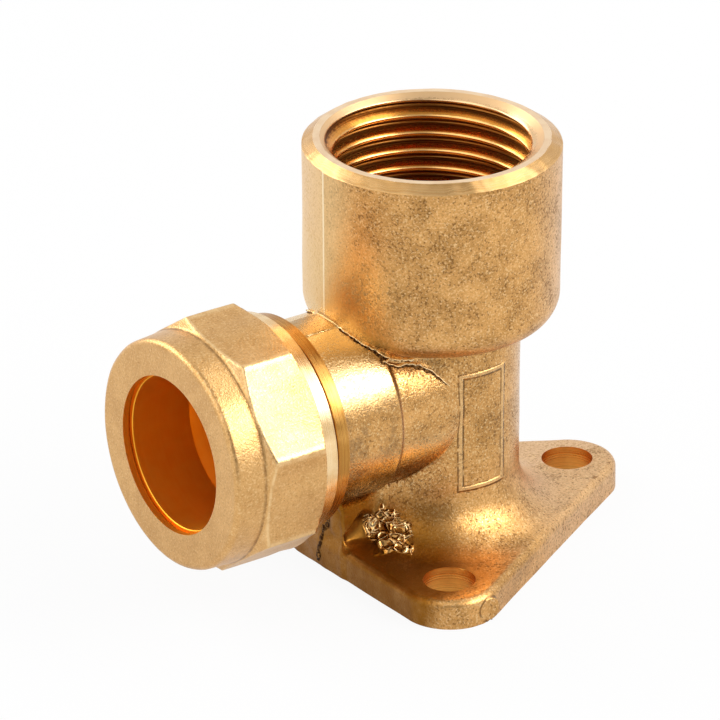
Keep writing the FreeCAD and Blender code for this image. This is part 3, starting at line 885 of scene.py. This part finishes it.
def nut_brass():
    """Tumbled nut: an even tan with a fine grain."""
    material, tree, shader, place = new_brass("nut brass")
    mottle = tumbled(tree, place, 2.4, 0.3)
    grain = mottle["Grain"]
    colour = blend(tree, mottle["Patches"], (0.66, 0.37, 0.135, 1), (0.78, 0.46, 0.18, 1))
    colour = lay(tree, colour, BROWN, ramp(tree, grain, 0.4, 0.0), 0.5)
    colour = lay(tree, colour, BROWN, mottle["Specks"], 0.3)
    colour = lay(tree, colour, PALE, ramp(tree, grain, 0.6, 1.0), 0.6)
    # painted highlights on the corners and along the edges of the flats, and painted shade in the crease at
    # the collar's foot
    x, y, z = xyz(tree, place)
    radius = distance(tree, y=y, z=reckon(tree, "SUBTRACT", z, AXIS_UP))
    ahead = product(tree, reckon(tree, "SUBTRACT", x, NUT_BACK + NUT_SHOULDER), NUT_CONE_AHEAD)
    out = product(tree, reckon(tree, "SUBTRACT", radius, NUT_COLLAR_FOOT), NUT_CONE_OUT)
    cone = reckon(tree, "ADD", ahead, out)
    uneven = ramp(tree, lumps(tree, place, 0.7, 2.0), 0.3, 0.6, 0.35, 1.0)
    corner = ramp(tree, radius, 12.2, 12.36)
    brow_highlight = window(tree, (cone, -0.3, -0.14), (cone, 0.02, -0.05))
    crease_shade = window(tree, (cone, 0.04, 0.12), (cone, 0.42, 0.16))
    colour = lay(tree, colour, DARK, crease_shade, uneven, 0.6)
    colour = lay(tree, colour, PALE, reckon(tree, "MAXIMUM", corner, brow_highlight), uneven, 0.75)
    roughness = reckon(tree, "ADD", 0.27, product(tree, grain, 0.08))
    finish_brass(tree, shader, colour, roughness, grain, 0.016)
    return material


def turned_brass(name, colours, roughness, along, spacing, depth, streaks=0.4):
    """Cut brass with tool lines; along gives the sum of axes, such as the radius, that the lines follow."""
    material, tree, shader, place = new_brass(name)
    lines = tool_marks(tree, along(tree, place), spacing)
    tone = product(tree, ramp(tree, lumps(tree, place, 1.6, 3.0), 0.35, 0.65), 1 - streaks)
    share = reckon(tree, "ADD", tone, product(tree, ramp(tree, lines, 0.3, 0.7), streaks))
    colour = blend(tree, share, colours[0], colours[1])
    rough = reckon(tree, "ADD", roughness, product(tree, lines, 0.1))
    finish_brass(tree, shader, colour, rough, lines, depth)
    return material


def tapped_brass():
    """Cut thread: painted highlights on the crests, painted shade darkening towards the roots, and a pale
    chamfer at the mouth.
    """
    material, tree, shader, place = new_brass("tapped brass")
    x, y, height = xyz(tree, place)
    radius = distance(tree, x=x, y=y)
    lines = tool_marks(tree, reckon(tree, "ADD", radius, height), 0.16)
    ragged = product(tree, reckon(tree, "SUBTRACT", lumps(tree, place, 0.4, 3.0, 0.7), 0.5), 0.8)
    # painted shade: the colour darkens with depth towards the roots
    depth = ramp(tree, reckon(tree, "ADD", radius, ragged), TAP_CORE + 0.25, TAP_CORE + 0.9)
    colour = blend(tree, depth, (0.80, 0.32, 0.045, 1), (0.22, 0.062, 0.006, 1))
    colour = lay(tree, colour, (0.86, 0.44, 0.11, 1), ramp(tree, lines, 0.4, 0.65), 0.35)
    # painted highlight on the crests, pale chamfer at the mouth and a dark burr at its foot
    near_core = reckon(tree, "ADD", radius, product(tree, ragged, 0.4))
    crest_highlight = ramp(tree, near_core, TAP_CORE + 0.2, TAP_CORE + 0.06)
    colour = lay(tree, colour, (0.95, 0.60, 0.25, 1), crest_highlight, 0.6)
    mouth = ramp(tree, height, SOCKET_TOP - 0.95, SOCKET_TOP - 0.8)
    colour = lay(tree, colour, (0.82, 0.53, 0.27, 1), mouth)
    ragged_height = reckon(tree, "ADD", height, product(tree, ragged, 0.5))
    burred = near_value(tree, ragged_height, SOCKET_TOP - 0.98, 0.2, 0.08)
    colour = lay(tree, colour, (0.10, 0.03, 0.004, 1), burred, 0.85)
    rough = reckon(tree, "ADD", 0.16, product(tree, depth, 0.2))
    finish_brass(tree, shader, colour, rough, lines, 0.008)
    return material


def about_socket(tree, place):
    """Radius and height about the socket's axis, so that lines run round it on a face or a wall."""
    x, y, z = xyz(tree, place)
    return reckon(tree, "ADD", distance(tree, x=x, y=y), z)


def about_arm(tree, place):
    """Radius and station about the arm's axis."""
    x, y, z = xyz(tree, place)
    return reckon(tree, "ADD", distance(tree, y=y, z=reckon(tree, "SUBTRACT", z, AXIS_UP)), x)


def up_the_hole(tree, place):
    """Height, so that lines run round a screw hole."""
    return xyz(tree, place)[2]


def torn_brass():
    """Torn metal: a smooth hollow in dark brown painted shade, and crumpled folds whose ridges carry
    painted highlights.
    """
    material, tree, shader, place = new_brass("torn brass")
    mottle = tumbled(tree, place, 1.2, 0.4)
    bent = add_node(tree, "TexNoise", {"Vector": place, "Scale": 0.7, "Detail": 0.0}).outputs["Color"]
    swirl = add_node(tree, "VectorMath", {0: bent, 1: (1.5, 1.5, 1.5), 2: place}, operation="MULTIPLY_ADD")
    folds = add_node(tree, "TexVoronoi", {"Vector": swirl.outputs[0], "Scale": 1.0},
                     feature="DISTANCE_TO_EDGE")
    # the folds lie on the neck's side of the hollow
    crumpled = ramp(tree, xyz(tree, place)[0], 10.3, 9.7)
    ridge = product(tree, ramp(tree, folds.outputs[0], 0.22, 0.0), crumpled)
    # dark brown painted shade, with pale painted highlights on the ridges of the folds
    colour = blend(tree, mottle["Patches"], (0.17, 0.068, 0.009, 1), (0.27, 0.115, 0.018, 1))
    colour = lay(tree, colour, (0.68, 0.40, 0.15, 1), crumpled, 0.35)
    colour = lay(tree, colour, PALE, ramp(tree, ridge, 0.3, 0.9), 0.85)
    smooth = ramp(tree, crumpled, 0.0, 1.0, 0.34, 0.12)
    roughness = reckon(tree, "ADD", smooth, product(tree, mottle["Grain"], 0.04))
    finish_brass(tree, shader, colour, roughness, ridge, 0.14)
    return material


def crack_shade_brass():
    """Painted shade of a crack: very dark, with paler crumbs."""
    material, tree, shader, place = new_brass("painted crack shade")
    crumbs = lumps(tree, place, 0.2, 2.0)
    colour = blend(tree, ramp(tree, crumbs, 0.46, 0.66, 0.0, 0.75), (0.06, 0.024, 0.007, 1), BROWN)
    roughness = reckon(tree, "ADD", 0.45, product(tree, crumbs, 0.2))
    finish_brass(tree, shader, colour, roughness, crumbs, 0.05)
    return material


FORGED = forged_brass()
NUT_BRASS = nut_brass()
TORN = torn_brass()
CRACK_SHADE = crack_shade_brass()
RIM = turned_brass("turned rim", ((0.90, 0.63, 0.38, 1), (0.98, 0.74, 0.48, 1)), 0.24,
                   about_socket, 0.12, 0.008, 0.2)
CHAMFER = turned_brass("turned chamfer", ((0.66, 0.37, 0.13, 1), (0.82, 0.50, 0.21, 1)), 0.22,
                       about_socket, 0.1, 0.012)
TAPPED = tapped_brass()
TURNED = turned_brass("turned back", ((0.84, 0.54, 0.24, 1), (0.97, 0.74, 0.43, 1)), 0.2,
                      about_arm, 0.12, 0.01)
# painted shade: darker and redder than the other turned brass, for the ring in the gap behind the nut
RING_IN_SHADE = turned_brass("turned ring in painted shade", ((0.44, 0.20, 0.04, 1), (0.64, 0.33, 0.085, 1)), 0.22,
                    about_arm, 0.12, 0.008)
# painted light: a bright deep orange stands in for the light that bounces about inside the bores
PAINTED_BORE_LIGHT = turned_brass("bored brass with painted light", ((0.98, 0.46, 0.045, 1), (1.0, 0.52, 0.06, 1)), 0.4,
                     about_arm, 0.2, 0.004)
DRILLED = turned_brass("drilled brass", ((0.60, 0.26, 0.05, 1), (0.92, 0.46, 0.10, 1)), 0.24,
                       up_the_hole, 0.14, 0.03, 0.7)
OLIVE = turned_brass("olive brass", ((0.98, 0.45, 0.03, 1), (1.0, 0.51, 0.05, 1)), 0.4,
                     about_arm, 0.3, 0.002)


# How near the middle of a triangle lies to the cut face that it belongs to
ON_FACE = 0.03

# Forged elbow
COARSE, FINE = 0.4, 0.2
xs = stops(-22.0, 26.0, COARSE, FINE, [(6.0, 16.8)])
ys = stops(-19.8, 19.8, COARSE, FINE, [(-0.8, 0.0), (1.4, 7.0), (18.0, 19.2)])
zs = stops(-0.6, 42.4, COARSE, FINE, [(-0.2, 6.8), (22.4, 25.8), (40.4, 41.7)])
points, tris = skin(forging, xs, ys, zs)
centres = points[tris].mean(axis=1)
heights = centres[:, 2]
elbow_metals = [FORGED, TORN, PAINTED_BORE_LIGHT, RIM, DRILLED, TAPPED, CHAMFER]
slots = np.zeros(len(tris), dtype=np.int32)
slots[np.maximum(tear_hollow(centres), tear_folds(centres)) > 0.4] = elbow_metals.index(TORN)
on_top = heights > SOCKET_TOP - 0.008
slots[on_top] = elbow_metals.index(RIM)
slots[(np.abs(rim_chamfer(centres)) < ON_FACE) & ~on_top] = elbow_metals.index(CHAMFER)
bored = np.abs(hollows(centres)) < ON_FACE
slots[bored] = elbow_metals.index(PAINTED_BORE_LIGHT)
slots[bored & (heights < PLATE_THICK + 0.2)] = elbow_metals.index(DRILLED)
slots[bored & (heights > SOCKET_FOOT)] = elbow_metals.index(TAPPED)
elbow = add_piece("elbow_forging", points, tris, elbow_metals, slots, corner_normals(forging, points, tris))
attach(elbow, "elbow")
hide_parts("elbow_body")


# Flash along the corner between the arm and the column, with a crack of painted shade beside it
FLAKE = np.array([10.6, 5.9, 23.6])
for label, hand, low, flake in (("front", 1, 1.75, FLAKE), ("back", -1, 2.4, FLAKE * [1, -9, 1])):
    corner = burr_path(hand, low, 5.9, 0.05)
    # the flash is given the pale turned brass, a painted highlight on its beads
    for seam in (burr("flash_" + label, corner, hand, flake, [TURNED]),
                 crack("crack_" + label, corner, hand, flake, [CRACK_SHADE])):
        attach(seam, "elbow")


# Torn parting line down the web's end and the plate's edge, darkened with the painted crack shade
web_line = web_seam("web_crack", 0.4, 7.4, 0.22, 0.34, [CRACK_SHADE])
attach(web_line, "elbow")


# Threads of the elbow
def tap_radius(phase, station):
    """Tapped thread, running out at its foot and opened out at the mouth by its chamfer."""
    depth = THREAD_HALF_DEPTH * (1 + rounded_teeth(phase)) * rise(26.8, 28.6, station)
    return np.maximum(TAP_CORE + depth, TAP_ROOM - (SOCKET_TOP - station) * TAP_MOUTH_SLOPE)


tap = thread("tap_thread", along_z, TAP_FLOOR, SOCKET_TOP, (TAP_CORE, TAP_ROOM), tap_radius, [TAPPED])
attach(tap, "elbow")


def spigot_radius(phase, station):
    """Spigot's thread, chamfered at its tip."""
    tip = SPIGOT_TIP + (SPIGOT_END - station) * 1.2
    return np.minimum(RING_RADIUS - THREAD_HALF_DEPTH * (1 - rounded_teeth(phase)), tip)


spigot = thread("spigot_thread", along_x, RING_END - 0.05, SPIGOT_END, (SPIGOT_TIP, SPIGOT_TIP),
                spigot_radius, [TURNED], inner=False)
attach(spigot, "elbow")

seat_end = PIPE_RADIUS + (SPIGOT_END - SEAT_FOOT) * math.tan(math.radians(30))
ring_back = ARM_END - 0.15
spigot_section = [
    (ring_back, 8.9, 0), (ring_back, RING_RADIUS - 0.16, 0), (ARM_END + 0.01, RING_RADIUS, 2),
    (RING_EDGE - 0.06, RING_RADIUS, 2), (RING_EDGE, RING_RADIUS - 0.06, 2),
    (RING_EDGE, SPIGOT_CORE + 0.2, 2), (RING_END, SPIGOT_CORE + 0.2, 2), (RING_END, SPIGOT_CORE, 0),
    (SPIGOT_END - 0.1, SPIGOT_CORE, 0), (SPIGOT_END, SPIGOT_CORE - 0.1, 0), (SPIGOT_END, seat_end - 0.1, 1),
    (SEAT_FOOT, PIPE_RADIUS, 1), (ring_back, PIPE_RADIUS, 0)]
core = lathe("turned_ring", spigot_section, along_x, [TURNED, PAINTED_BORE_LIGHT, RING_IN_SHADE])
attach(core, "elbow")

# Nut
NUT_GRID = 0.22
xs = stops(18.2, 31.0, NUT_GRID, NUT_GRID, [])
ys = stops(-12.9, 12.9, NUT_GRID, NUT_GRID, [])
points, tris = skin(nut, xs, ys, ys + AXIS_UP)
centres = points[tris].mean(axis=1)
nut_metals = [NUT_BRASS, TURNED, PAINTED_BORE_LIGHT]
slots = np.zeros(len(tris), dtype=np.int32)
turned = (np.abs(nut_back(centres)) < 0.04) | (centres[:, 0] < NUT_BACK + ON_FACE)
slots[turned] = nut_metals.index(TURNED)
slots[np.abs(nut_hollow(centres)) < ON_FACE] = nut_metals.index(PAINTED_BORE_LIGHT)
shell = add_piece("nut_shell", points, tris, nut_metals, slots, corner_normals(nut, points, tris))
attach(shell, "nut")
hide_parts("compression_nut")


def nut_radius(phase, station):
    """The nut's own thread, a clearance outside the spigot's."""
    return RING_RADIUS + 0.1 - THREAD_HALF_DEPTH * (1 - rounded_teeth(phase)) + 0 * station


inside = thread("nut_thread", along_x, NUT_BACK + 0.05, NUT_THREAD_END, (NUT_ROOM, NUT_ROOM), nut_radius,
                [PAINTED_BORE_LIGHT], steps=96, rows=10)
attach(inside, "nut")

# Olive
olive_section = [
    (OLIVE_BACK, PIPE_RADIUS, 0), (OLIVE_BACK, OLIVE_EDGE, 0), (OLIVE_FLAT[0], OLIVE_RADIUS, 0),
    (OLIVE_FLAT[1], OLIVE_RADIUS, 0), (OLIVE_FRONT, OLIVE_EDGE, 0), (OLIVE_FRONT, PIPE_RADIUS + 0.07, 0),
    (OLIVE_FRONT - 0.07, PIPE_RADIUS, 0)]
olive = lathe("olive_ring", olive_section, along_x, [OLIVE])
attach(olive, "ring")
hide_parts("olive")


# Floor: white to the eye, with a trace of the object's shadow kept
FLOOR_PAINT = 0.66
GLOW_TO_EYE = 0.92
GLOW_TO_METAL = 0.4


def floor_material():
    """Matt white floor that also glows for the eye and for reflections."""
    material = bpy.data.materials.new("white floor")
    material.use_nodes = True
    tree = material.node_tree
    paint = tree.nodes["Principled BSDF"]
    paint.inputs["Base Color"].default_value = (FLOOR_PAINT, FLOOR_PAINT, FLOOR_PAINT, 1)
    paint.inputs["Roughness"].default_value = 0.9
    paint.inputs["Specular IOR Level"].default_value = 0.0
    path = add_node(tree, "LightPath").outputs
    share = reckon(tree, "ADD", product(tree, path["Is Camera Ray"], GLOW_TO_EYE),
                   product(tree, path["Is Glossy Ray"], GLOW_TO_METAL))
    glow = add_node(tree, "Emission", {"Color": (1, 1, 1, 1), "Strength": 1.0}).outputs[0]
    mixed = add_node(tree, "MixShader", {0: share, 1: paint.outputs[0], 2: glow}).outputs[0]
    tree.links.new(mixed, tree.nodes["Material Output"].inputs["Surface"])
    return material


bpy.ops.mesh.primitive_plane_add(size=4.0)
floor = bpy.context.object
floor.name = "floor"
floor.data.materials.append(floor_material())

# Camera, from the fit to the photograph: where it looks from, how far away, and its small shifts
PLAN = math.radians(54.283)
LIFT = math.radians(25.248)
CAMERA_AWAY = 681.0
CAMERA_ASIDE = 1.323
CAMERA_ABOVE = 2.544
LENS_LENGTH = 358.04
SENSOR_WIDTH = 36.0
TOWARDS = np.array((math.cos(LIFT) * math.cos(PLAN), math.cos(LIFT) * math.sin(PLAN), math.sin(LIFT)))
RIGHT = np.array((-math.sin(PLAN), math.cos(PLAN), 0.0))
UP = np.cross(TOWARDS, RIGHT)
AIM = np.array((10.0, 0.0, 18.0))


def facing(side, top, out, spot):
    """Placement matrix from three directions and a place in metres."""
    return Matrix([(side[k], top[k], out[k], spot[k]) for k in range(3)] + [(0, 0, 0, 1)])


lens = bpy.data.cameras.new("camera")
lens.sensor_width = SENSOR_WIDTH
lens.lens = LENS_LENGTH
lens.clip_start = 0.05
lens.clip_end = 20.0
camera = bpy.data.objects.new("camera", lens)
bpy.context.scene.collection.objects.link(camera)
stand = (AIM + CAMERA_AWAY * TOWARDS + CAMERA_ASIDE * RIGHT + CAMERA_ABOVE * UP) * MM
camera.matrix_world = facing(RIGHT, UP, TOWARDS, stand)
bpy.context.scene.camera = camera


def softbox(name, plan, lift, distance, width, height, glow):
    """Rectangular light facing the part, by its compass angle, its elevation and how bright it looks."""
    plan, lift = math.radians(plan), math.radians(lift)
    out = np.array((math.cos(lift) * math.cos(plan), math.cos(lift) * math.sin(plan), math.sin(lift)))
    side = np.array((-math.sin(plan), math.cos(plan), 0.0))
    data = bpy.data.lights.new(name, "AREA")
    data.shape = "RECTANGLE"
    data.size = width
    data.size_y = height
    data.energy = glow * math.pi * width * height
    light = bpy.data.objects.new(name, data)
    bpy.context.scene.collection.objects.link(light)
    light.matrix_world = facing(side, np.cross(out, side), out, AIM * MM + out * distance)


softbox("key", 129, 33, 0.6, 0.62, 0.30, 3.0)
softbox("key core", 129, 35, 0.58, 0.24, 0.16, 5.0)
softbox("rim light", 168, 54, 0.7, 0.4, 0.3, 1.7)
softbox("left fill", -62, 30, 0.7, 0.6, 0.45, 2.6)


def looking(tree, look, way):
    """How nearly a look goes along a direction, from -1 to 1."""
    return add_node(tree, "VectorMath", {0: look, 1: way}, operation="DOT_PRODUCT").outputs["Value"]


def surroundings():
    """White room: white to the eye, and a soft tent of light for everything else."""
    world = bpy.data.worlds.new("white room")
    world.use_nodes = True
    tree = world.node_tree
    look = add_node(tree, "TexCoord").outputs["Generated"]
    overhead = looking(tree, look, (0.0, 0.2, 0.98))
    ahead = looking(tree, look, (0.6, 0.75, 0.28))
    beyond = looking(tree, look, (0.0, -0.98, 0.2))
    left = looking(tree, look, (0.75, 0.2, 0.63))
    darker_ahead = ramp(tree, ahead, 0.78, 0.97, 0.0, 0.55)
    darker_overhead = ramp(tree, overhead, 0.9, 0.985, 0.0, 0.3)
    shade = reckon(tree, "ADD", darker_ahead, darker_overhead)
    brighter_left = ramp(tree, left, 0.76, 0.95, 0.0, 0.95)
    tone = reckon(tree, "ADD", ramp(tree, beyond, -0.5, 0.8, 0.72, 0.9), brighter_left)
    level = reckon(tree, "SUBTRACT", tone, shade)
    tent = add_node(tree, "Background", {"Color": (1, 1, 1, 1), "Strength": level}).outputs[0]
    white = add_node(tree, "Background", {"Color": (1, 1, 1, 1), "Strength": 1.0}).outputs[0]
    path = add_node(tree, "LightPath").outputs
    seen = reckon(tree, "MAXIMUM", path["Is Camera Ray"], path["Is Transmission Ray"])
    mixed = add_node(tree, "MixShader", {0: seen, 1: tent, 2: white}).outputs[0]
    tree.links.new(mixed, tree.nodes["World Output"].inputs["Surface"])
    return world


bpy.context.scene.world = surroundings()
bpy.context.scene.view_settings.view_transform = "Standard"
